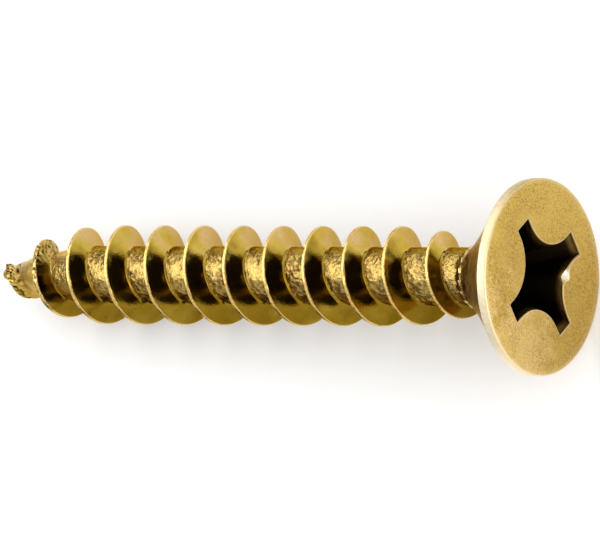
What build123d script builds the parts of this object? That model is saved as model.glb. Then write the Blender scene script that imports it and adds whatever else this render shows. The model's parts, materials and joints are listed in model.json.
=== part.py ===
"""Chipboard screw, 4.5 x 30 mm: countersunk head, cross recess, coarse right-hand thread to the head.

The screw is drawn upright, with its tip at the origin and its head on top. It is then laid on the
ground as it comes to rest: on the rim of its head and on two crests of its thread.
"""
from build123d import *
from math import atan, cos, radians, sin, tan
import os

# ---- driving dimensions, in millimetres and degrees ------------------------------------------------
screw_length = 30.0
thread_radius = 2.25        # nominal size 4.5
core_radius = 1.33
pitch = 2.2
head_radius = 4.4
countersink_angle = 90.0    # whole angle of the cone under the head
head_land = 0.55            # height of the upright band round the head
land_chamfer = 0.06         # broken edge between the band and the cone
face_bevel_width = 0.45     # slope round the rim of the face
face_bevel_drop = 0.12
neck_round = 0.5            # rounding where the cone meets the core

core_point_radius = 0.20    # of the core at the very tip
core_shoulder_height = 1.8  # of its shoulder above the tip
core_shoulder_radius = 0.80
core_point_length = 4.8     # over which it grows to full size

crest_land = 0.12           # flat on top of the thread
head_flank_angle = 24.7     # of the flank that faces the head, from square to the axis
tip_flank_angle = 15.0      # of the flank that faces the tip
root_share = 0.35           # of the crest's radius, from which the ridge's profile is drawn
thread_start = 0.26         # height of the crest where the ridge starts
start_radius = 0.40         # of the crest there
start_land = 0.35
point_turns = 3             # in which the ridge grows to full size
point_power = 2.6           # of the way it grows
full_turns = 7
run_out_turns = 2.5         # in which it sinks towards the neck and ends inside the head
run_out_radius = 1.45       # of the crest where it ends
run_out_power = 1.5
sections_a_turn = 16        # of the turns that change in size

recess_reach = 2.8          # from the centre to the end of a wing, at the face
recess_width = 0.92         # of a wing
recess_depth = 2.75
recess_taper = 0.46         # reach at the bottom, as a share of the reach at the face
recess_wing_taper = 0.72    # the same for the width of the wings
recess_rounding = 0.85      # share of a wing's side that the round metal between two wings takes
recess_turn = 33.0          # of the wings about the axis
drill_point_radius = 0.55   # of the blunt cone under the recess
drill_point_depth = 0.25

# ---- what follows from them ------------------------------------------------------------------------
land_bottom = screw_length - head_land
neck_height = land_bottom - (head_radius - core_radius) / tan(radians(countersink_angle / 2))
recess_bottom = screw_length - recess_depth
run_out_turn = point_turns + full_turns
half_run_out = run_out_turns / 2
head_flank_slope = tan(radians(head_flank_angle))
tip_flank_slope = tan(radians(tip_flank_angle))


def crest_height(turn):
    """Height of the crest, a number of turns after the ridge starts."""
    return thread_start + turn * pitch


def crest_size(turn):
    """Radius of the crest and width of its flat, a number of turns after the ridge starts."""
    if turn < point_turns:
        share = ((point_turns - turn) / point_turns) ** point_power
        radius = thread_radius - (thread_radius - start_radius) * share
        return radius, crest_land + (start_land - crest_land) * share
    share = (max(turn - run_out_turn, 0) / run_out_turns) ** run_out_power
    return thread_radius - (thread_radius - run_out_radius) * share, crest_land


def ridge_section(turn):
    """Profile of the ridge, on the half plane through the axis at which this turn stands."""
    radius, land = crest_size(turn)
    height = crest_height(turn)
    root = root_share * radius
    with BuildSketch(Plane.XZ.rotated((0, 0, 360 * turn))) as section:
        with BuildLine():
            Polyline(
                (root, height - land / 2 - (radius - root) * tip_flank_slope),
                (radius, height - land / 2),
                (radius, height + land / 2),
                (root, height + land / 2 + (radius - root) * head_flank_slope),
                close=True,
            )
        make_face()
    return section.sketch


def tapered_ridge(first, turns):
    """A stretch of the ridge that changes in size, lofted through its sections."""
    steps = round(turns * sections_a_turn)
    loft([ridge_section(first + turns * step / steps) for step in range(steps + 1)])


# ---- blank: point, core, neck and head, turned from one profile ------------------------------------
with BuildPart() as blank:
    with BuildSketch(Plane.XZ):
        with BuildLine():
            Polyline(
                (0, 0),
                (core_point_radius, 0),
                (core_shoulder_radius, core_shoulder_height),
                (core_radius, core_point_length),
                (core_radius, neck_height),
                (head_radius, land_bottom),
                (head_radius, screw_length - face_bevel_drop),
                (head_radius - face_bevel_width, screw_length),
                (0, screw_length),
                close=True,
            )
        make_face()
        chamfer(vertices().sort_by_distance((head_radius, land_bottom))[0], land_chamfer)
        fillet(vertices().sort_by_distance((core_radius, neck_height))[0], neck_round)
    revolve(axis=Axis.Z)

# ---- thread: a ridge that grows at the point, keeps its size, and sinks towards the neck -----------
with BuildPart() as full_turn:
    with BuildLine() as path:
        Helix(pitch, pitch, thread_radius, center=(0, 0, crest_height(point_turns)))
    sweep(ridge_section(point_turns), path.wire(), is_frenet=True)

with BuildPart() as thread:
    for turn in range(point_turns):
        tapered_ridge(turn, 1)
    with Locations([(0, 0, turn * pitch) for turn in range(full_turns)]):
        add(full_turn.part)
    for first in (run_out_turn, run_out_turn + half_run_out):
        tapered_ridge(first, half_run_out)


def recess_outline(reach, width):
    """Cross with straight-sided wings and round metal between them."""
    Rectangle(2 * reach, width)
    Rectangle(width, 2 * reach)
    inner_corners = vertices().sort_by_distance((0, 0))[:4]
    fillet(inner_corners, recess_rounding * (reach - width / 2))


# ---- the screw, upright ----------------------------------------------------------------------------
with BuildPart() as upright:
    add(blank.part)
    add(thread.part)
    turned = Plane.XY.rotated((0, 0, recess_turn))
    with BuildSketch(turned.offset(screw_length)):
        recess_outline(recess_reach, recess_width)
    with BuildSketch(turned.offset(recess_bottom)):
        recess_outline(recess_reach * recess_taper, recess_width * recess_wing_taper)
    loft(ruled=True, mode=Mode.SUBTRACT)
    with Locations((0, 0, recess_bottom - drill_point_depth)):
        Cone(
            0, drill_point_radius, drill_point_depth,
            align=(Align.CENTER, Align.CENTER, Align.MIN), mode=Mode.SUBTRACT,
        )


# ---- at rest: the roll and the tilt at which it lies -----------------------------------------------
def lying_slope(roll):
    """Slope of the axis as it lies on the rim and on a crest, with one side of it turned down."""
    crests = [turn + roll / 360 for turn in range(run_out_turn)]
    return min(
        (head_radius - crest_size(turn)[0]) / (land_bottom - crest_height(turn)) for turn in crests
    )


rest_roll = max(range(360), key=lying_slope)    # a screw rolls on until its weight is lowest
rest_tilt = atan(lying_slope(rest_roll))
side_down = radians(rest_roll)
ground = Plane(
    origin=(0, 0, 0),
    x_dir=(cos(side_down) * sin(rest_tilt), -sin(side_down), -cos(side_down) * cos(rest_tilt)),
    z_dir=(cos(rest_tilt), 0, sin(rest_tilt)),
)
lying = ground.location * upright.part
reach = lying.bounding_box()
with BuildPart() as screw:
    with Locations((-reach.center().X, -reach.center().Y, -reach.min.Z)):
        add(lying)
screw.part.label = "screw"

os.makedirs("parts", exist_ok=True)
export_step(screw.part, "parts/screw.step")
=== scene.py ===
"""Chipboard screw at rest on a pale floor: one finely meshed, rolled and yellow-plated screw.

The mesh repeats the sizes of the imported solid, which it stands for, in millimetres. Heights run along
the screw from its tip, and turns are degrees about its axis. A ridge turn counts whole turns of the
thread, from where its ridge starts.
"""
import json
import math

import bmesh
import bpy
from mathutils import Matrix, Vector, noise


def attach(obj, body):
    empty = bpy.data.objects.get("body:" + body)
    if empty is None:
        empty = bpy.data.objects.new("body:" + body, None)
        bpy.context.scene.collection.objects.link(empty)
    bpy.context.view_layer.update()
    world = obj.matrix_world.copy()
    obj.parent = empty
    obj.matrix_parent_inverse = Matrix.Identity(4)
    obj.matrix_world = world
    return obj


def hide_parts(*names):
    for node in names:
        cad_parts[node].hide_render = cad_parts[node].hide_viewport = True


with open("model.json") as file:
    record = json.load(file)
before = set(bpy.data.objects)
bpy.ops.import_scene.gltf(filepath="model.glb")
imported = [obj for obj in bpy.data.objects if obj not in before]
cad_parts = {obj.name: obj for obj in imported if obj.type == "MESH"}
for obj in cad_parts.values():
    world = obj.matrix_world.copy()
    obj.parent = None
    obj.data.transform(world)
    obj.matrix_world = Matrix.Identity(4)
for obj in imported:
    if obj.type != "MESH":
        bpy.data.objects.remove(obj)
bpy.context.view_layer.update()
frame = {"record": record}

# ---- the screw's own axes, from the mounts on its head ---------------------------------------------
MM = 0.001
mounts = {mount["name"]: mount for mount in frame["record"]["mounts"]}
axis = Vector(mounts["head_face"]["axis"]).normalized()
head_centre = Vector(mounts["drive_recess"]["pos_m"])
between_wings = (Vector(mounts["head_face"]["pos_m"]) - head_centre).normalized()

# ---- sizes -----------------------------------------------------------------------------------------
LENGTH = 30.0
THREAD_RADIUS = mounts["thread"]["dims"]["r_mm"]
HEAD_RADIUS = mounts["countersink"]["dims"]["r_mm"]
RECESS_DEPTH = mounts["drive_recess"]["dims"]["length_mm"]
CORE_RADIUS = 1.33
PITCH = 2.2
CREST_LAND = 0.12
CREST_FALL = 0.012                  # how far the flat of the crest drops towards the head
HEAD_FLANK_SLOPE = math.tan(math.radians(24.7))
TIP_FLANK_SLOPE = math.tan(math.radians(15.0))
ROOT_BLEND = 0.08                   # rounds the corners between the flanks and the core
START_BLEND = 0.35                  # what is added to it where the ridge starts
THREAD_START = 0.26                 # height of the crest where the ridge starts
START_RADIUS = 0.40                 # of the crest there
START_LAND = 0.35
POINT_TURNS = 3                     # in which the ridge grows to full size
POINT_POWER = 2.6
RUN_OUT_TURN = 10                   # ridge turn at which it begins to sink
RUN_OUT_TURNS = 2.5
RUN_OUT_POWER = 1.5
RUN_OUT_RADIUS = 1.45
LAND_BOTTOM = LENGTH - 0.55         # of the upright band round the head
LAND_CHAMFER = 0.06
NECK_HEIGHT = LAND_BOTTOM - (HEAD_RADIUS - CORE_RADIUS)     # where the core meets the cone
CORE_OUTLINE = ((0.0, 0.20), (1.8, 0.80), (4.8, CORE_RADIUS), (LENGTH, CORE_RADIUS))
NECK_BLEND = 0.21
CONE_HOLLOW = 0.14                  # how far the forged cone dishes inwards
LIP_HEIGHT = 0.12                   # over the core, of the lip where the rolling ends
BEVEL_WIDTH = 0.45
BEVEL_DROP = 0.12
WING_TURN = 33.0                    # of the recess's first wing
RECESS_REACH = 2.8
RECESS_WIDTH = 0.92
RECESS_TAPER = 0.46
RECESS_WING_TAPER = 0.72
RECESS_ROUNDING = 0.85
DRILL_RADIUS = 0.55                 # of the cone under the recess
DRILL_DEPTH = 0.25
SLIP_TURN = 270.0                   # where the driver has slipped out of the recess; there the edge is also painted white, a painted highlight
SLIP_SPREAD = 8                     # of that place, in degrees
WIDENED_FROM = 0.45                 # share of a wing's reach from which a driver has worn one side
WIDENED_BY = 0.5
SHANK_BOTTOM = 0.07
SHANK_TOP = LAND_BOTTOM - LAND_CHAMFER * math.sqrt(0.5)
FIRST_TURN = WING_TURN / 360 - 1    # ridge turn of the first strip of the mesh
LIT_SIDE_TURN = -35.0                   # the side painted as lit, whose plating is pale; the other side is painted as shaded and olive

# ---- how finely it is meshed -----------------------------------------------------------------------
QUARTER = 36                        # columns in a quarter turn
COLUMNS = 4 * QUARTER
TIP_FLANK_ROWS = 3
HEAD_FLANK_ROWS = 9
ROOT_ROWS = 16
ROOT_EASE = 0.3                     # how far the rows of the core are drawn towards the flanks
CREST_GAP = 0.02                    # from the crest to the first row of the head flank
TIP_FOOT_GAP = 0.03                 # from the foot of a tip flank to the rows beside it
HEAD_FOOT_GAP = 0.055               # the same for a head flank, which has one more row on each side
HALF_FOOT_GAP = 0.027
WING_END_ROWS = 4                   # on half the end of a wing of the recess
WING_SIDE_ROWS = 3                  # on the straight side of a wing
FACE_RINGS = 14
WALL_RINGS = 14                     # on the walls of the recess
SHARP_ANGLE = math.radians(38)
WELD_DISTANCE = 0.001 * MM


# ---- the true surface ------------------------------------------------------------------------------
def place(radius, turn, height):
    """A point in the scene's frame, from cylinder coordinates about the screw's axis."""
    angle = math.radians(turn - WING_TURN - 45)
    outward = between_wings * math.cos(angle) + axis.cross(between_wings) * math.sin(angle)
    return head_centre + MM * (axis * (height - LENGTH) + outward * radius)


def smooth_step(start, end, value):
    """From 0 at one value to 1 at another, which may be the lower one."""
    share = max(0.0, min(1.0, (value - start) / (end - start)))
    return share * share * (3 - 2 * share)


def blend_max(a, b, width):
    """The larger of two values, with a rounded corner where they cross."""
    overlap = max(width - abs(a - b), 0) / width
    return max(a, b) + overlap * overlap * width / 4


def core_radius(height):
    """Radius of the core, the neck and the cone of the head."""
    core = CORE_RADIUS
    for (low, low_radius), (high, high_radius) in zip(CORE_OUTLINE, CORE_OUTLINE[1:]):
        if low <= height < high:
            core = low_radius + (high_radius - low_radius) * (height - low) / (high - low)
    share = min(max((height - NECK_HEIGHT) / (LAND_BOTTOM - NECK_HEIGHT), 0), 1)
    cone = CORE_RADIUS + height - NECK_HEIGHT - 4 * CONE_HOLLOW * share * (1 - share)
    return blend_max(core, cone, NECK_BLEND)


def crest(ridge_turn):
    """Height and radius of the crest, and half the width of its flat; no crest before turn 0."""
    height = THREAD_START + ridge_turn * PITCH
    if ridge_turn < 0:
        return height, 0.0, 0.0
    if ridge_turn < POINT_TURNS:
        share = (1 - ridge_turn / POINT_TURNS) ** POINT_POWER
        radius = THREAD_RADIUS - (THREAD_RADIUS - START_RADIUS) * share
        return height, radius, (CREST_LAND + (START_LAND - CREST_LAND) * share) / 2
    share = (max(ridge_turn - RUN_OUT_TURN, 0) / RUN_OUT_TURNS) ** RUN_OUT_POWER
    return height, THREAD_RADIUS - (THREAD_RADIUS - RUN_OUT_RADIUS) * share, CREST_LAND / 2


def ridge_radius(ridge_turn, height):
    """Radius of the ridge's surface, its crest rounded towards the head."""
    middle, radius, half_land = crest(ridge_turn)
    if height < middle - half_land:
        return radius - (middle - half_land - height) / TIP_FLANK_SLOPE
    fall = max(height - middle - half_land, 0) / HEAD_FLANK_SLOPE
    share = min(max((height - middle) / half_land, 0), 1) if half_land else 0.0
    return radius - share ** 2 * CREST_FALL - fall


def surface_radius(ridge_turn, height):
    """Radius of the shank at a height, near this turn of the ridge or the next."""
    ridge = max(ridge_radius(ridge_turn, height), ridge_radius(ridge_turn + 1, height))
    blend = ROOT_BLEND + START_BLEND * smooth_step(1.0, 0.2, ridge_turn)
    return blend_max(core_radius(height), ridge, blend)


def flank_foot(ridge_turn, side):
    """Height at which a flank meets the core; side is -1 towards the tip and 1 towards the head."""
    middle, radius, half_land = crest(ridge_turn)
    slope = HEAD_FLANK_SLOPE if side > 0 else TIP_FLANK_SLOPE
    height = middle
    for _ in range(6):              # each pass comes nearer to where they meet
        height = middle + side * (half_land + slope * max(radius - core_radius(height), 0))
    return height


# ---- relief: the rolled, scaly core, the nicked crests, the torn point and the satin head ----------
SCALE_SIZE = 0.24                   # of the scales that the rolling leaves on the core
SCALE_DEPTH = 0.036
GRAIN_DEPTH = 0.022                 # of the grain over them
SEAM_SHADE_DEPTH = 0.030                  # of a seam at which the painted shade of the seams begins
SEAM_SHADE_RANGE = 0.024                  # and how much deeper the seams with the darkest painted shade are
SKIN_DEPTH = 0.004                  # of a crest, a flank or the point where it has no marks
NICK_DEPTH = 0.025                  # of the nicks in the crests
PIT_DEPTH = 0.16                    # of the pits at the point
FLANK_PIT_DEPTH = 0.20
FLANK_WAVE = 0.004
WAVE_DEPTH = 0.006                  # of the slow waves of the face and of the tip flanks
CONE_DEPTH = 0.006
RIM_DEPTH = 0.002
RECESS_SHADE_DEPTH = 0.4            # down to which the recess is painted darker, a painted shade

# What a pair names starts at its first height or radius, and is at its fullest from the second on.
TORN_TIP = (1.9, 1.3)
TORN_WING = ((1.9, 2.2), (3.3, 2.8))
PITTED_TIP = (1.7, 1.0)
PITTED_RADIUS = (0.2, 0.36)
NECK_SCRATCHES_AND_SHADE = (24.0, 26.0)
NECK_FLANK_SHADE = (22.8, 24.4)
POINT_FLANK_SHADE = (4.9, 3.9)
FLATTER_SCALES = (NECK_HEIGHT - 0.35, NECK_HEIGHT - 0.15)
LIP_RISE = (NECK_HEIGHT - 0.19, NECK_HEIGHT - 0.08)
CONE_NECK_SHADE = (NECK_HEIGHT + 1.6, NECK_HEIGHT + 0.4)
LAND_HIGHLIGHT_FADE = (LENGTH - 0.32, LENGTH - 0.14)
BEVEL_HIGHLIGHT_FADE = (HEAD_RADIUS - 0.24, HEAD_RADIUS - 0.04)


def flakes(point, size):
    """Scaly plates from 0 to 1, with low seams between them."""
    distances, centres = noise.voronoi(point / size)
    seam = min((distances[1] - distances[0]) / 0.25, 1.0)
    return (0.5 + 0.5 * noise.noise(centres[0] * 3.7)) * seam


def pits(point, scale, level):
    """How far a fine turbulence rises over a level."""
    return max(0.0, noise.turbulence(point * scale, 3, True) - level)


def scratches(point):
    """Long marks along the axis, from 0 to 1."""
    stretched = Vector((point.x * 4.5, point.y * 4.5, point.z * 0.5))
    return smooth_step(-0.15, 0.35, noise.noise(stretched))


def torn(height):
    """How torn the thread is, from 0 to 1: at the tip, and on its first wing after that."""
    (wing_start, wing_full), (wing_end, wing_still_full) = TORN_WING
    on_wing = smooth_step(wing_start, wing_full, height) * smooth_step(wing_end, wing_still_full, height)
    return max(smooth_step(*TORN_TIP, height), on_wing)


def lip(height):
    """Height over the surface of the thin flat lip where the rolling ends, before the cone."""
    top = CORE_RADIUS + LIP_HEIGHT * smooth_step(*LIP_RISE, height)
    return max(top - core_radius(height), 0.0) if height > LIP_RISE[0] else 0.0


def slip_and_glint(turn):
    """How blunt the mouth of the recess is, from 0 to 1; where it is blunt, its edge is also painted
    white as a highlight.
    """
    return math.exp(-(((turn - SLIP_TURN + 180) % 360 - 180) / SLIP_SPREAD) ** 2)


def core_relief(point, height):
    """Scales with seams darkened as painted shade, flatter beside the lip, and brown scratches near the
    neck that are partly painted shade.
    """
    scale = flakes(Vector((point.x, point.y, point.z * 1.4)), SCALE_SIZE)
    grain = noise.turbulence(point * 8.0, 3, True)
    rough = 0.95 + 0.5 * noise.noise(point * 1.1)
    depth = rough * (SCALE_DEPTH * (1 - scale) + GRAIN_DEPTH * grain)
    depth *= 1 - 0.7 * smooth_step(*FLATTER_SCALES, height)
    # brown scratches near the neck, partly painted shade of the neck
    scratches_and_shade = 0.2 * scratches(point) * smooth_step(*NECK_SCRATCHES_AND_SHADE, height)
    # seams deeper than a depth are painted darker, a painted shade
    return depth - lip(height), max(scratches_and_shade, min(1.0, (depth - SEAM_SHADE_DEPTH) / SEAM_SHADE_RANGE))


def point_relief(point, radius, height):
    """Pits round the tip, darkened as painted shade."""
    where = smooth_step(*PITTED_TIP, height) * smooth_step(*PITTED_RADIUS, radius)
    pit = where * pits(point, 4.2, 0.30)
    return SKIN_DEPTH + PIT_DEPTH * pit, min(1.0, 2.6 * pit)


def crest_relief(point, height):
    """Small nicks, pits where the thread is torn, darkened as painted shade, and the lip at the neck."""
    nick = max(0.0, noise.noise(point * 4.0) - 0.1)
    pit = torn(height) * pits(point, 5.0, 0.28)
    depth = SKIN_DEPTH + NICK_DEPTH * nick + PIT_DEPTH * pit
    return depth - lip(height), min(1.0, 3.5 * pit)


def flank_relief(point, height, up):
    """Nearly smooth, with pits where the thread is torn, darkened as painted shade, and painted shade at
    both of its ends.
    """
    pit = torn(height) * smooth_step(-0.2, 0.4, up) * pits(point, 4.5, 0.30)
    under = smooth_step(-0.6, -0.9, up)
    # painted shade where the flanks reflect dark places: near the neck, less on the underside, and near
    # the point away from the top and the bottom
    shade_at_neck = smooth_step(*NECK_FLANK_SHADE, height) * smooth_step(0.55, 0.2, up) * (0.75 - 0.35 * under)
    shade_at_point = 0.7 * smooth_step(*POINT_FLANK_SHADE, height) * smooth_step(0.75, 0.3, abs(up))
    depth = SKIN_DEPTH + FLANK_WAVE * noise.noise(point * 2.2) + FLANK_PIT_DEPTH * pit
    return depth, max(shade_at_neck, shade_at_point, min(1.0, 2.0 * pit))


def cone_relief(point, height, near):
    """Smooth, with long streaks of painted shade at the neck and on the side that faces the camera."""
    # painted shade at the neck and on the side that faces the camera, streaked along the axis
    shade_at_neck = 0.65 * smooth_step(*CONE_NECK_SHADE, height)
    near_side = 0.6 * smooth_step(0.68, 0.92, near)
    return CONE_DEPTH, max(shade_at_neck, near_side) * (0.25 + scratches(point))


def relief(kind, radius, turn, height):
    """Depth below the true surface, in millimetres, and how far the place takes its material's shaded
    colour, from 0 to 1: painted shade, or on the rim, the bevel and the mouth's edge the bounds of a
    painted highlight.
    """
    angle = math.radians(turn)
    up, near = math.cos(angle), math.sin(angle)     # how far it faces the picture's top, the camera
    point = Vector((radius * up, radius * near, height))
    if kind == "core":
        return core_relief(point, height)
    if kind == "point":
        return point_relief(point, radius, height)
    if kind in ("crest", "burr"):
        return crest_relief(point, height)
    if kind in ("head_flank", "torn"):
        return flank_relief(point, height, up)
    if kind == "cone":
        return cone_relief(point, height, near)
    if kind == "rim":
        # the rim's painted white highlight fades to buff towards the face
        return RIM_DEPTH, 0.4 * smooth_step(*LAND_HIGHLIGHT_FADE, height)
    if kind == "edge":
        # the mouth's edge is painted bronze shade, and white as a painted highlight where it is blunt
        return 0.0, 1 - slip_and_glint(turn)
    if kind == "recess":
        # the recess is painted darker with depth, a painted shade
        return 0.0, min(1.0, (LENGTH - height) / RECESS_SHADE_DEPTH)
    # the bevel is painted paler towards the rim, a painted highlight
    if kind == "face" and radius > BEVEL_HIGHLIGHT_FADE[0]:
        return RIM_DEPTH, 0.3 * smooth_step(*BEVEL_HIGHLIGHT_FADE, radius)
    wave = 0.5 + 0.5 * noise.noise(Vector((point.x * 1.4, point.y * 1.4, point.z * 0.8)))
    return WAVE_DEPTH * wave, 0.0


# ---- mesh ------------------------------------------------------------------------------------------
KINDS = (
    "core", "point", "burr", "torn", "tip_flank", "crest",
    "head_flank", "cone", "rim", "face", "edge", "recess",
)
INWARD = {                          # shares of a depth that go towards the axis and towards the tip
    "head_flank": (0.42, 0.91),
    "torn": (0.42, 0.91),
    "tip_flank": (0.26, -0.97),
}
points = []
shades = []
painted_light_sides = []
faces = []
face_kinds = []


def add_spot(spot, turn, shade):
    """Adds a point and what its materials read, and returns its number."""
    points.append(spot)
    shades.append(shade)
    # side paints light and shade: 1 on the lit, pale side, 0 on the shaded, olive side
    painted_light_sides.append(0.5 + 0.5 * math.cos(math.radians(turn - LIT_SIDE_TURN)))
    return len(points) - 1


def add_point(radius, turn, height, kind):
    """Adds a point, sunk into the metal by its kind's relief."""
    depth, shade = relief(kind, radius, turn, height)
    inward, back = INWARD.get(kind, (1.0, 0.0))
    return add_spot(place(max(radius - inward * depth, 0.0), turn, height - back * depth), turn, shade)


def add_face(corners, kind):
    """Adds a face, or nothing where its corners have run together."""
    kept = [corner for index, corner in enumerate(corners) if corner != corners[index - 1]]
    if len(kept) > 2:
        faces.append(kept)
        face_kinds.append(KINDS.index(kind))


def column_turn(column):
    """Turn of a column; the first one runs through the middle of the recess's first wing."""
    return WING_TURN + 360.0 * column / COLUMNS


def turned_ring(radius, height, kind):
    """Adds a ring of points round the axis."""
    return [add_point(radius, column_turn(column), height, kind) for column in range(COLUMNS)]


def join_rings(lower, upper, kind):
    """Adds the faces between two rings."""
    for column in range(COLUMNS):
        after = (column + 1) % COLUMNS
        add_face((lower[column], lower[after], upper[after], upper[column]), kind)


# The shank: upright strips side by side, each as high as one pitch, which wind up round the axis.
NECK_BAND = 0.1                     # half the height of the bright band where the cone starts
SMOOTH_POINT_END = 0.85             # ridge turns at which the kinds of the point end
TORN_FLANK_END = 1.25
BURR_ENDS = {"core": 1.9, "crest": 1.2}


def spread(low, high, rows, ease=0.0):
    """Heights from low up to, but without, high, drawn towards both ends by ease."""
    shares = [row / rows for row in range(rows)]
    eased = [(1 - ease) * share + ease * (0.5 - 0.5 * math.cos(math.pi * share)) for share in shares]
    return [low + (high - low) * share for share in eased]


def ridge_rows(ridge_turn):
    """Heights and kinds of one pitch of the profile, from a flank's foot to the next ridge's."""
    middle, _, half_land = crest(ridge_turn)
    foot, head_foot = flank_foot(ridge_turn, -1), flank_foot(ridge_turn, 1)
    next_foot = flank_foot(ridge_turn + 1, -1)
    low, high = middle - half_land, middle + half_land
    last_row = next_foot - TIP_FOOT_GAP
    on_tip_flank = [foot] + spread(foot + TIP_FOOT_GAP, low, TIP_FLANK_ROWS)
    on_crest = [low, middle - half_land / 3, middle + half_land / 3, high]
    on_head_flank = spread(high + CREST_GAP, head_foot - HEAD_FOOT_GAP, HEAD_FLANK_ROWS)
    at_foot = [head_foot + step for step in (-HEAD_FOOT_GAP, -HALF_FOOT_GAP, 0.0, HALF_FOOT_GAP)]
    on_core = spread(head_foot + HEAD_FOOT_GAP, last_row, ROOT_ROWS, ROOT_EASE) + [last_row]
    rows = [(height, "tip_flank") for height in on_tip_flank]
    rows += [(height, "crest") for height in on_crest]
    rows += [(height, "head_flank") for height in on_head_flank + at_foot]
    rows += [(height, "core") for height in on_core]
    kept = []
    for height, kind in rows:
        lowest = kept[-1][0] if kept else foot
        kept.append((min(max(height, lowest), next_foot), kind))
    return kept


def shank_kind(kind, ridge_turn, height):
    """What a row is made of: it differs at the point, where the metal is torn, and at the neck."""
    if height > NECK_HEIGHT + NECK_BAND:
        return "cone"
    if height > NECK_HEIGHT - NECK_BAND:
        return "crest"
    if kind in ("core", "head_flank") and ridge_turn < SMOOTH_POINT_END:
        return "point"
    if kind == "head_flank" and ridge_turn < TORN_FLANK_END:
        return "torn"
    return "burr" if ridge_turn < BURR_ENDS.get(kind, 0.0) else kind


bottom_ring = []
for column in range(COLUMNS):
    ridge_turn = FIRST_TURN + column / COLUMNS
    radius = max(surface_radius(ridge_turn, SHANK_BOTTOM), surface_radius(ridge_turn + 1, SHANK_BOTTOM))
    bottom_ring.append(add_point(radius, column_turn(column), SHANK_BOTTOM, "point"))
top_ring = turned_ring(core_radius(SHANK_TOP), SHANK_TOP, "cone")


def shank_strip(step):
    """Numbers of one strip's points, those beyond the shank's two ends taken from its ends."""
    ridge_turn = FIRST_TURN + step / COLUMNS
    numbers = []
    for height, kind in ridge_rows(ridge_turn):
        if height <= SHANK_BOTTOM:
            numbers.append(bottom_ring[step % COLUMNS])
        elif height >= SHANK_TOP:
            numbers.append(top_ring[step % COLUMNS])
        else:
            kind = shank_kind(kind, ridge_turn, height)
            numbers.append(add_point(surface_radius(ridge_turn, height), column_turn(step), height, kind))
    return numbers


steps = math.ceil((SHANK_TOP / PITCH - FIRST_TURN) * COLUMNS)
strips = [shank_strip(step) for step in range(steps + 1)]
for step in range(steps):
    # Both strips go on to the strips one turn above them, or at the top to the ring there.
    if step + 1 + COLUMNS <= steps:
        above, above_ahead = strips[step + COLUMNS][0], strips[step + 1 + COLUMNS][0]
    else:
        above, above_ahead = top_ring[step % COLUMNS], top_ring[(step + 1) % COLUMNS]
    here = strips[step] + [above]
    ahead = strips[step + 1] + [above_ahead]
    ridge_turn = FIRST_TURN + step / COLUMNS
    for row, (height, kind) in enumerate(ridge_rows(ridge_turn)):
        corners = (here[row], ahead[row], ahead[row + 1], here[row + 1])
        add_face(corners, shank_kind(kind, ridge_turn, height))

# The blunt end of the point: each ring's share of the core's radius there, and its height.
TIP_RINGS = ((0.85, 0.02), (0.6, 0.0))
TIP_ALLOWANCE = 0.006               # makes up for the depth of the relief
ring = bottom_ring
for share, height in TIP_RINGS:
    below = turned_ring(core_radius(0) * share + TIP_ALLOWANCE, height, "point")
    join_rings(below, ring, "point")
    ring = below
tip_point = add_spot(place(0.0, 0.0, 0.0), 0.0, 0.0)
join_rings([tip_point] * COLUMNS, ring, "point")

# The rim: chamfer, upright land and the soft bevel of the face.
bevel_bottom = LENGTH - BEVEL_DROP
bevel_inner = HEAD_RADIUS - BEVEL_WIDTH
flat_radius = bevel_inner - 0.12
RIM_PROFILE = (
    ("rim", HEAD_RADIUS - 0.004, LAND_BOTTOM),
    ("rim", HEAD_RADIUS, LAND_BOTTOM + 0.03),
    ("rim", HEAD_RADIUS, bevel_bottom - 0.045),
    ("rim", HEAD_RADIUS - 0.006, bevel_bottom - 0.02),
    ("rim", HEAD_RADIUS - 0.024, bevel_bottom - 0.003),
    ("rim", HEAD_RADIUS - 0.06, bevel_bottom + 0.012),
    ("face", bevel_inner + 0.22, LENGTH - 0.062),
    ("face", bevel_inner + 0.06, LENGTH - 0.018),
    ("face", bevel_inner - 0.04, LENGTH - 0.002),
    ("face", flat_radius, LENGTH),
)
ring = top_ring
for kind, radius, height in RIM_PROFILE:
    above = turned_ring(radius, height, kind)
    join_rings(ring, above, kind)
    ring = above


# The face and the recess: rings that keep the columns, on the outline of the cross.
def cross_point(column, reach, width, corner):
    """A point of the cross's outline; the first column is in the middle of the end of a wing."""
    quarter, index = divmod(column % COLUMNS, QUARTER)
    half = width / 2
    mirrored = index > QUARTER / 2
    index = QUARTER - index if mirrored else index
    arc_start = half + corner
    if index <= WING_END_ROWS:
        x, y = reach, half * index / WING_END_ROWS
    elif index <= WING_END_ROWS + WING_SIDE_ROWS:
        x, y = reach + (arc_start - reach) * (index - WING_END_ROWS) / WING_SIDE_ROWS, half
    else:
        arc_rows = QUARTER / 2 - WING_END_ROWS - WING_SIDE_ROWS
        angle = math.radians(270 - 45 * ((index - WING_END_ROWS - WING_SIDE_ROWS) / arc_rows))
        x, y = arc_start + corner * math.cos(angle), arc_start + corner * math.sin(angle)
    x, y = (y, x) if mirrored else (x, y)
    for _ in range(quarter):
        x, y = -y, x
    return Vector((x, y, 0))


def widened(spot, reach):
    """A point of the outline, pushed out where a driver has worn one side of one wing's end."""
    worn = (-spot.y / reach - WIDENED_FROM) / (1 - WIDENED_FROM)
    share = min(max(worn, 0), 1) if spot.x < 0 else 0
    return Vector((spot.x * (1 + WIDENED_BY * share), spot.y, 0))


def cross_outline(reach, width, grow=0.0):
    """The outline of the cross, moved out all round by grow."""
    corner = RECESS_ROUNDING * (reach - width / 2) - grow
    spots = [cross_point(column, reach + grow, width + 2 * grow, corner) for column in range(COLUMNS)]
    return [widened(spot, reach) for spot in spots]


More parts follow.
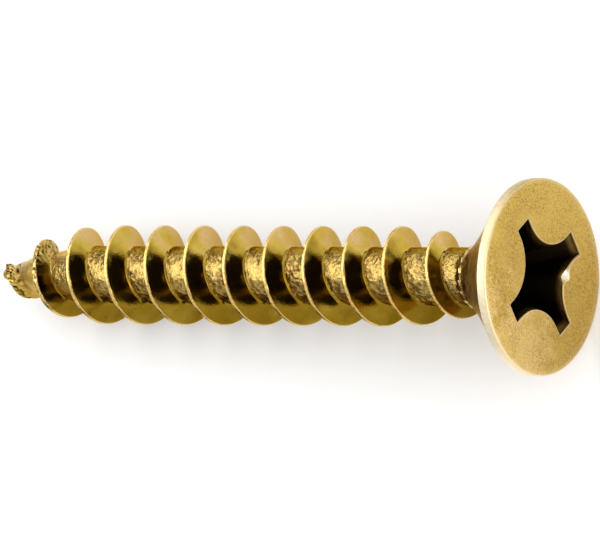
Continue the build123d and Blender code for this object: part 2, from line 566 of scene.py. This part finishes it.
def circle(radius):
    """A round outline."""
    angles = [2 * math.pi * column / COLUMNS for column in range(COLUMNS)]
    return [Vector((radius * math.cos(angle), radius * math.sin(angle), 0)) for angle in angles]


def between(first, second, share):
    """An outline that is some share of the way from one to another."""
    return [a.lerp(b, share) for a, b in zip(first, second)]


def outline_turn(spot):
    """Turn of a point of an outline."""
    return WING_TURN + math.degrees(math.atan2(spot.y, spot.x))


def mouth_outline(grow, more):
    """The mouth's outline moved out, and by more where its edge is worn blunt."""
    usual = cross_outline(RECESS_REACH, RECESS_WIDTH, grow)
    blunt = cross_outline(RECESS_REACH, RECESS_WIDTH, grow + more)
    return [first.lerp(second, slip_and_glint(outline_turn(first))) for first, second in zip(usual, blunt)]


def next_ring(last, outline, heights, kind):
    """Adds a ring on an outline, sunk along the axis by its relief, and joins the last ring to it."""
    numbers = []
    for spot, height in zip(outline, heights):
        turn = outline_turn(spot)
        depth, shade = relief(kind, spot.length, turn, height)
        numbers.append(add_spot(place(spot.length, turn, height - depth), turn, shade))
    join_rings(last, numbers, kind)
    return numbers


def level_ring(last, outline, height, kind):
    """The next ring, all of it at one height."""
    return next_ring(last, outline, [height] * COLUMNS, kind)


mouth = cross_outline(RECESS_REACH, RECESS_WIDTH)
face_edge = mouth_outline(0.06, 0.28)
flat_edge = circle(flat_radius)
for index in range(FACE_RINGS - 1, -1, -1):
    ring = level_ring(ring, between(face_edge, flat_edge, index / FACE_RINGS), LENGTH, "face")

EDGE_RINGS = (                      # outline, depth below the face, and what comes to it where blunt
    (mouth_outline(0.03, 0.23), 0.010, 0.02),
    (mouth, 0.04, 0.14),
)
for outline, drop, more in EDGE_RINGS:
    heights = [LENGTH - drop - more * slip_and_glint(outline_turn(spot)) for spot in mouth]
    ring = next_ring(ring, outline, heights, "edge")

WALL_TOP_DEPTH = 0.061              # of the first ring of the walls, below the edge
recess_bottom = LENGTH - RECESS_DEPTH
bottom_outline = cross_outline(RECESS_REACH * RECESS_TAPER, RECESS_WIDTH * RECESS_WING_TAPER)
for index in range(1, WALL_RINGS + 1):
    share = index / WALL_RINGS
    height = LENGTH - max(RECESS_DEPTH * share, WALL_TOP_DEPTH)
    ring = level_ring(ring, between(mouth, bottom_outline, share), height, "recess")
drill_mouth = circle(DRILL_RADIUS)
for share in (0.35, 0.7, 1.0):
    ring = level_ring(ring, between(bottom_outline, drill_mouth, share), recess_bottom, "recess")
for share in (0.6, 0.25):
    height = recess_bottom - DRILL_DEPTH * (1 - share)
    ring = level_ring(ring, circle(DRILL_RADIUS * share), height, "recess")
drill_end = add_spot(place(0.0, 0.0, recess_bottom - DRILL_DEPTH), 0.0, 0.0)
join_rings(ring, [drill_end] * COLUMNS, "recess")

mesh = bpy.data.meshes.new("screw_finish")
mesh.from_pydata(points, [], faces)
mesh.polygons.foreach_set("material_index", face_kinds)
for name, values in (("shade", shades), ("side", painted_light_sides)):
    mesh.attributes.new(name, "FLOAT", "POINT").data.foreach_set("value", values)
welded = bmesh.new()
welded.from_mesh(mesh)
bmesh.ops.remove_doubles(welded, verts=welded.verts, dist=WELD_DISTANCE)
welded.to_mesh(mesh)
welded.free()
mesh.shade_smooth()
mesh.set_sharp_from_angle(angle=SHARP_ANGLE)
screw = bpy.data.objects.new("screw_finish", mesh)
bpy.context.scene.collection.objects.link(screw)
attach(screw, "root")
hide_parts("screw")

# ---- materials -------------------------------------------------------------------------------------
GOLD = (0.63, 0.425, 0.092)
STRAW = (0.475, 0.335, 0.10)
YELLOW = (0.55, 0.39, 0.065)
OLIVE = (0.32, 0.208, 0.023)
ROSE = (0.65, 0.45, 0.22)
SAND = (0.60, 0.40, 0.088)
BUFF = (0.76, 0.53, 0.18)
# the brown of real dirt, and of painted shade in seams, pits, near the thread's ends and on the cone
DIRT_AND_SHADE_BROWN = (0.070, 0.032, 0.008)
# near black: painted shade in pits and deep in the recess
SHADE_BLACK = (0.018, 0.011, 0.005)
# bronze: painted shade in the recess and on the mouth's edge
SHADE_BRONZE = (0.34, 0.20, 0.05)
PALE = (0.87, 0.65, 0.29)
# white: the rim's painted highlight and the mouth's painted glint
HIGHLIGHT_WHITE = (0.95, 0.86, 0.66)
# cream: the rim's painted highlight and the bevel's painted pale edge
HIGHLIGHT_CREAM = (0.84, 0.68, 0.38)
# painted shade: the darkest tint of the head flanks, on the shaded side
SHADED_OLIVE = (0.235, 0.14, 0.010)
# painted shade: the tip flanks darkened, so that the head flanks reflect them dark
TIP_FLANK_SHADE = (0.36, 0.25, 0.06)
# painted shade: the hollows of the fine grain darkened
HOLLOW_SHADE = (0.42, 0.30, 0.14)
FULL = (1.0, 1.0, 1.0)              # leaves what it is multiplied with as it is

DRIFT = 0.6                         # how far the tints stray from their sides of the screw
DRIFT_SCALE = 0.9 / MM
PATCH_SCALE = 0.6 / MM              # of the places with more and with fewer specks
FEWEST_SPECKS = 0.4
FACET_SCALE = 1 / (0.14 * MM)
FACET_PATCH_SCALE = 1.0 / MM
LOWEST_FACETS = 0.6


def node(tree, kind, **settings):
    """A new node with its settings."""
    made = tree.nodes.new(kind)
    for name, value in settings.items():
        setattr(made, name, value)
    return made


def noise_node(tree, coordinates, scale, detail=3.0, roughness=0.5):
    """Noise at some scale, which is one over its size in metres."""
    made = node(tree, "ShaderNodeTexNoise")
    made.inputs["Scale"].default_value = scale
    made.inputs["Detail"].default_value = detail
    made.inputs["Roughness"].default_value = roughness
    tree.links.new(coordinates, made.inputs["Vector"])
    return made.outputs["Fac"]


def ramp(tree, value, stops):
    """A colour ramp; each stop is a position and a colour or a grey."""
    made = node(tree, "ShaderNodeValToRGB")
    elements = made.color_ramp.elements
    while len(elements) < len(stops):
        elements.new(0.5)
    for element, (position, colour) in zip(elements, stops):
        element.position = position
        element.color = (*colour, 1.0) if isinstance(colour, tuple) else (colour, colour, colour, 1.0)
    tree.links.new(value, made.inputs["Fac"])
    return made.outputs["Color"]


def range_node(tree, value, low, high):
    """Maps 0 to 1 onto a range."""
    made = node(tree, "ShaderNodeMapRange")
    made.inputs["To Min"].default_value = low
    made.inputs["To Max"].default_value = high
    tree.links.new(value, made.inputs["Value"])
    return made.outputs["Result"]


def math_node(tree, operation, first, second):
    """A sum, a product or the like of two sockets."""
    made = node(tree, "ShaderNodeMath", operation=operation)
    tree.links.new(first, made.inputs[0])
    tree.links.new(second, made.inputs[1])
    return made.outputs[0]


def mix(tree, factor, first, second, blend="MIX"):
    """Mixes two colours; the factor and the colours are sockets or values."""
    made = node(tree, "ShaderNodeMix", data_type="RGBA", blend_type=blend)
    for index, value in ((0, factor), (6, first), (7, second)):
        if isinstance(value, bpy.types.NodeSocket):
            tree.links.new(value, made.inputs[index])
        else:
            made.inputs[index].default_value = (*value, 1.0) if index else value
    return made.outputs[2]


def bump_node(tree, height, distance):
    """Bumps of a height in millimetres."""
    made = node(tree, "ShaderNodeBump")
    made.inputs["Strength"].default_value = 1.0
    made.inputs["Distance"].default_value = distance * MM
    tree.links.new(height, made.inputs["Height"])
    return made


def plating_colour(tree, coordinates, fine, tints, speckle, dirt, shaded):
    """The tints along the sides of the screw, which paint light and shade, then painted shade in the
    grain's hollows, then the shaded colour that the mesh brings in, then stains.
    """
    side = node(tree, "ShaderNodeAttribute", attribute_name="side").outputs["Fac"]
    shade = node(tree, "ShaderNodeAttribute", attribute_name="shade").outputs["Fac"]
    drift = range_node(tree, noise_node(tree, coordinates, DRIFT_SCALE, 2.0), -DRIFT, DRIFT)
    stops = [(index / (len(tints) - 1), tint) for index, tint in enumerate(tints)]
    # the side ramp paints light and shade; the drift is the plating's own
    colour = ramp(tree, math_node(tree, "ADD", side, drift), stops)
    # painted shade: the hollows of the fine grain, which is also the bump, darker
    hollow_shade = ramp(tree, fine, ((0.28, HOLLOW_SHADE), (0.55, FULL)))
    patches = noise_node(tree, coordinates, PATCH_SCALE, 1.0)
    patchy = ramp(tree, patches, ((0.38, FEWEST_SPECKS * speckle), (0.58, speckle)))
    colour = mix(tree, patchy, colour, hollow_shade, "MULTIPLY")
    colour = mix(tree, shade, colour, shaded)
    if dirt:
        strength, size, rarity = dirt
        blot = noise_node(tree, coordinates, 1 / (size * MM), 4.0, 0.6)
        blot = ramp(tree, blot, ((rarity, 0.0), (rarity + 0.08, strength)))
        colour = mix(tree, blot, colour, DIRT_AND_SHADE_BROWN)
    return colour


def plating(
    name, tints, roughness, grain, bump, speckle=0.5, dirt=None, facets=0.0, shaded=DIRT_AND_SHADE_BROWN, grazing=FULL
):
    """Yellow zinc plating.

    Its tints follow one another from the olive side of the screw to the pale side, which paints light
    and shade over the plating's own hues, with a slow drift that is the plating's own. Roughness is a
    low and a high value, grain the size in millimetres of the fine texture, bump its height, and
    speckle says how dark its hollows are painted, a painted shade. Dirt is the strength, the size in
    millimetres and the rarity of stains, and facets is the height of the facets of a scaly surface.
    Shaded is the colour that the mesh's shade brings in: painted shade in seams, pits and the recess,
    on the flanks near the point and the neck and on the cone, over real scratches near the neck, and
    on the rim, the bevel and the mouth's edge the bounds of a painted highlight. Grazing tints what
    the plating reflects at a low angle.
    """
    material = bpy.data.materials.new(name)
    material.use_nodes = True
    tree = material.node_tree
    shader = tree.nodes["Principled BSDF"]
    shader.inputs["Metallic"].default_value = 1.0
    shader.inputs["Specular Tint"].default_value = (*grazing, 1.0)
    coordinates = node(tree, "ShaderNodeTexCoord").outputs["Object"]
    fine = noise_node(tree, coordinates, 1 / (grain * MM), 4.0, 0.6)
    colour = plating_colour(tree, coordinates, fine, tints, speckle, dirt, shaded)
    tree.links.new(colour, shader.inputs["Base Color"])
    tree.links.new(range_node(tree, fine, *roughness), shader.inputs["Roughness"])
    surface = bump_node(tree, fine, bump)
    if facets:
        medium = noise_node(tree, coordinates, FACET_SCALE, 2.0)
        patches = noise_node(tree, coordinates, FACET_PATCH_SCALE, 1.0)
        patchy = ramp(tree, patches, ((0.4, LOWEST_FACETS), (0.6, 1.0)))
        scaly = bump_node(tree, math_node(tree, "MULTIPLY", medium, patchy), facets)
        tree.links.new(scaly.outputs["Normal"], surface.inputs["Normal"])
    tree.links.new(surface.outputs["Normal"], shader.inputs["Normal"])
    return material


# Each material's tints run from the shaded side of the screw to its lit side, painted light and shade
# over the plating's own hues: on the shaded side the flanks, the point, its burr and the torn thread are
# darker, and the rim, the face and the cone paler.
MATERIALS = {
    "core": plating(
        "core_plating", (STRAW, STRAW), (0.16, 0.28), grain=0.06, bump=0.006, speckle=0.7,
        dirt=(0.5, 0.5, 0.54), facets=0.022, grazing=(0.60, 0.40, 0.14),
    ),
    "point": plating(
        "point_plating", (GOLD, PALE), (0.36, 0.50), grain=0.12, bump=0.006, shaded=SHADE_BLACK,
    ),
    "burr": plating(
        "burr_plating", (GOLD, PALE), (0.20, 0.32), grain=0.07, bump=0.010, speckle=0.8,
        dirt=(0.9, 0.16, 0.62), facets=0.026, shaded=SHADE_BLACK, grazing=(0.80, 0.62, 0.30),
    ),
    "torn": plating(
        "torn_plating", (YELLOW, GOLD), (0.14, 0.24), grain=0.10, bump=0.008, speckle=0.6,
        dirt=(0.9, 0.24, 0.62), shaded=SHADE_BLACK,
    ),
    # painted shade: the tip flanks are dark, so that the head flanks reflect them dark
    "tip_flank": plating(
        "tip_flank_plating", (TIP_FLANK_SHADE, TIP_FLANK_SHADE), (0.07, 0.12), grain=0.15, bump=0.001,
    ),
    "crest": plating(
        "crest_plating", (BUFF, BUFF), (0.20, 0.32), grain=0.08, bump=0.010, speckle=0.9,
    ),
    # painted shade: the head flanks darkest on the shaded side
    "head_flank": plating(
        "head_flank_plating", (SHADED_OLIVE, OLIVE, YELLOW, ROSE), (0.07, 0.12), grain=0.10, bump=0.0045,
        speckle=0.3, dirt=(0.9, 0.35, 0.70), grazing=(0.85, 0.70, 0.38),
    ),
    "cone": plating(
        "cone_plating", (PALE, GOLD), (0.26, 0.38), grain=0.12, bump=0.006, speckle=0.6,
        dirt=(0.6, 0.6, 0.60), grazing=(0.62, 0.46, 0.24),
    ),
    # painted highlight: the rim is white and cream
    "rim": plating(
        "rim_plating", (HIGHLIGHT_WHITE, HIGHLIGHT_CREAM), (0.42, 0.54), grain=0.14, bump=0.004, speckle=0.3, shaded=BUFF,
    ),
    "face": plating(
        "face_plating", (BUFF, SAND, SAND, GOLD, GOLD), (0.26, 0.40), grain=0.08, bump=0.016,
        speckle=0.95, dirt=(0.14, 0.14, 0.50), shaded=HIGHLIGHT_CREAM,
    ),
    # painted highlight: the edge is white where blunt, and painted bronze shade elsewhere
    "edge": plating(
        "edge_plating", (HIGHLIGHT_WHITE, HIGHLIGHT_WHITE), (0.12, 0.20), grain=0.10, bump=0.002, speckle=0.2,
        shaded=SHADE_BRONZE,
    ),
    # painted shade: the recess is bronze, near black deeper down
    "recess": plating(
        "recess_plating", (SHADE_BRONZE, SHADE_BRONZE), (0.36, 0.50), grain=0.16, bump=0.006, speckle=0.8,
        shaded=SHADE_BLACK, grazing=SHADE_BRONZE,
    ),
}
for kind in KINDS:
    mesh.materials.append(MATERIALS[kind])

# ---- studio ----------------------------------------------------------------------------------------
FLOOR_HALF = 3.0
FLOOR_GREY = 0.92
FLOOR_GLOW = 0.10                   # seen directly and in reflections, but lights no matt surface
CARD_GREY = 0.010
MATT = 0.9
SKY_SEEN = 1.0                      # how bright the white world is where it is seen
SKY_LIGHT = 0.75                    # and as a light on matt surfaces
LAMP_DISTANCE = 0.45
WALL_RADIUS = 0.5
WALL = (                            # azimuth, and the elevations of the wall's lower and upper edge
    (124, 0, 9),
    (131, 0, 19),
    (136, 0, 26),
    (141, 0, 31),
    (152, 0, 35),
    (156, 3, 36),
    (196, 3, 36),
    (200, 0, 34),
    (219, 0, 33),
)
MAT_HEIGHT = 0.0005
MATS = {
    "dark_mat": ((0.004, -0.006), (-0.018, -0.006), (-0.16, -0.105), (-0.025, -0.120)),
    "dark_far_mat": ((-0.008, 0.0155), (0.032, 0.0155), (0.080, 0.070), (0.010, 0.070)),
}
CEILING_RADIUS = 0.12
CEILING_HEIGHT = 0.45


def plain(name, grey):
    """A matt grey surface."""
    material = bpy.data.materials.new(name)
    material.use_nodes = True
    shader = material.node_tree.nodes["Principled BSDF"]
    shader.inputs["Base Color"].default_value = (grey, grey, grey, 1.0)
    shader.inputs["Roughness"].default_value = MATT
    return material


def stage_mesh(name, corners, quads, material):
    """A thing of the studio, which is no part of the screw."""
    made = bpy.data.meshes.new(name)
    made.from_pydata(corners, [], quads)
    made.materials.append(material)
    thing = bpy.data.objects.new(name, made)
    bpy.context.scene.collection.objects.link(thing)
    return thing


def dark_card(name, corners, quads):
    """Black cloth that only reflections see, as cards beside polished metal."""
    card = stage_mesh(name, corners, quads, plain("black_cloth", CARD_GREY))
    card.visible_camera = False
    card.visible_diffuse = False
    card.visible_transmission = False
    card.visible_shadow = False


def spot_at(azimuth, distance, height):
    """A point of the studio; azimuth 0 is over the head and 180 over the tip."""
    angle = math.radians(azimuth)
    return (distance * math.cos(angle), distance * math.sin(angle), height)


floor_corners = [(x * FLOOR_HALF, y * FLOOR_HALF, 0.0) for x, y in ((-1, -1), (1, -1), (1, 1), (-1, 1))]
floor_paint = plain("floor_paint", FLOOR_GREY)
paper = floor_paint.node_tree
light_path = node(paper, "ShaderNodeLightPath")
seen_directly = light_path.outputs["Is Camera Ray"]
for sent_on in ("Is Glossy Ray", "Is Transmission Ray"):
    seen_directly = math_node(paper, "MAXIMUM", seen_directly, light_path.outputs[sent_on])
floor_shader = paper.nodes["Principled BSDF"]
floor_shader.inputs["Emission Color"].default_value = (*FULL, 1.0)
glow = range_node(paper, seen_directly, 0.0, FLOOR_GLOW)
paper.links.new(glow, floor_shader.inputs["Emission Strength"])
stage_mesh("floor", floor_corners, [(0, 1, 2, 3)], floor_paint)

wall_corners = [
    spot_at(azimuth, WALL_RADIUS, WALL_RADIUS * math.tan(math.radians(elevation)))
    for azimuth, low, high in WALL
    for elevation in (low, high)
]
wall_quads = [(low, low + 2, low + 3, low + 1) for low in range(0, 2 * len(WALL) - 2, 2)]
dark_card("dark_wall", wall_corners, wall_quads)
for name, outline in MATS.items():
    dark_card(name, [(x, y, MAT_HEIGHT) for x, y in outline], [(0, 1, 2, 3)])
ceiling_corners = [spot_at(azimuth, CEILING_RADIUS, CEILING_HEIGHT) for azimuth in range(0, 360, 30)]
dark_card("dark_ceiling", ceiling_corners, [tuple(range(len(ceiling_corners)))])

world = bpy.data.worlds.new("studio")
bpy.context.scene.world = world
world.use_nodes = True
sky = world.node_tree
diffuse_ray = node(sky, "ShaderNodeLightPath").outputs["Is Diffuse Ray"]
background = sky.nodes["Background"]
background.inputs["Color"].default_value = (*FULL, 1.0)
sky.links.new(range_node(sky, diffuse_ray, SKY_SEEN, SKY_LIGHT), background.inputs["Strength"])


def softbox(name, azimuth, elevation, width, height, radiance):
    """A rectangular lamp that faces the screw."""
    lamp = bpy.data.lights.new(name, "AREA")
    lamp.shape = "RECTANGLE"
    lamp.size = width
    lamp.size_y = height
    lamp.energy = radiance * math.pi * width * height
    up = math.radians(elevation)
    direction = Vector(spot_at(azimuth, math.cos(up), math.sin(up)))
    holder = bpy.data.objects.new(name, lamp)
    holder.location = direction * LAMP_DISTANCE
    holder.rotation_euler = direction.to_track_quat("Z", "Y").to_euler()
    bpy.context.scene.collection.objects.link(holder)


softbox("key_softbox", azimuth=174, elevation=52, width=0.46, height=0.20, radiance=2.4)
softbox("side_softbox", azimuth=124, elevation=32, width=0.09, height=0.26, radiance=2.6)
softbox("head_softbox", azimuth=-8, elevation=28, width=0.36, height=0.30, radiance=2.1)

# ---- camera: beyond the head and well above it, with a long lens -----------------------------------
VIEW_ANGLE = math.radians(53.8)     # between the line of sight and the screw's axis
VIEW_WIDTH = 26.90                  # of the picture, in millimetres at the screw
NEAR_TURN = 88.0                    # the side of the screw that faces the camera
ROLL = math.radians(0.3)            # of the camera
AIM_RIGHT = 1.265                   # from the middle of the screw to the middle of the picture
AIM_UP = 0.03
LENS = 1000.0
SENSOR = 36.0
near_side = (place(1.0, NEAR_TURN, 0.0) - place(0.0, 0.0, 0.0)).normalized()
towards = axis * math.cos(VIEW_ANGLE) + near_side * math.sin(VIEW_ANGLE)
level = axis * math.sin(VIEW_ANGLE) - near_side * math.cos(VIEW_ANGLE)
right = level * math.cos(ROLL) + towards.cross(level) * math.sin(ROLL)
upward = towards.cross(right)
centre = place(0.0, 0.0, LENGTH / 2) + MM * (AIM_RIGHT * right + AIM_UP * upward)
camera = bpy.data.objects.new("camera", bpy.data.cameras.new("camera"))
camera.data.lens = LENS
camera.data.sensor_width = SENSOR
camera.data.clip_end = 10.0
turned = Matrix((right, upward, towards)).transposed().to_4x4()
camera.matrix_world = Matrix.Translation(centre + towards * VIEW_WIDTH * MM * LENS / SENSOR) @ turned
bpy.context.scene.collection.objects.link(camera)
bpy.context.scene.camera = camera

bpy.context.scene.view_settings.view_transform = "Standard"
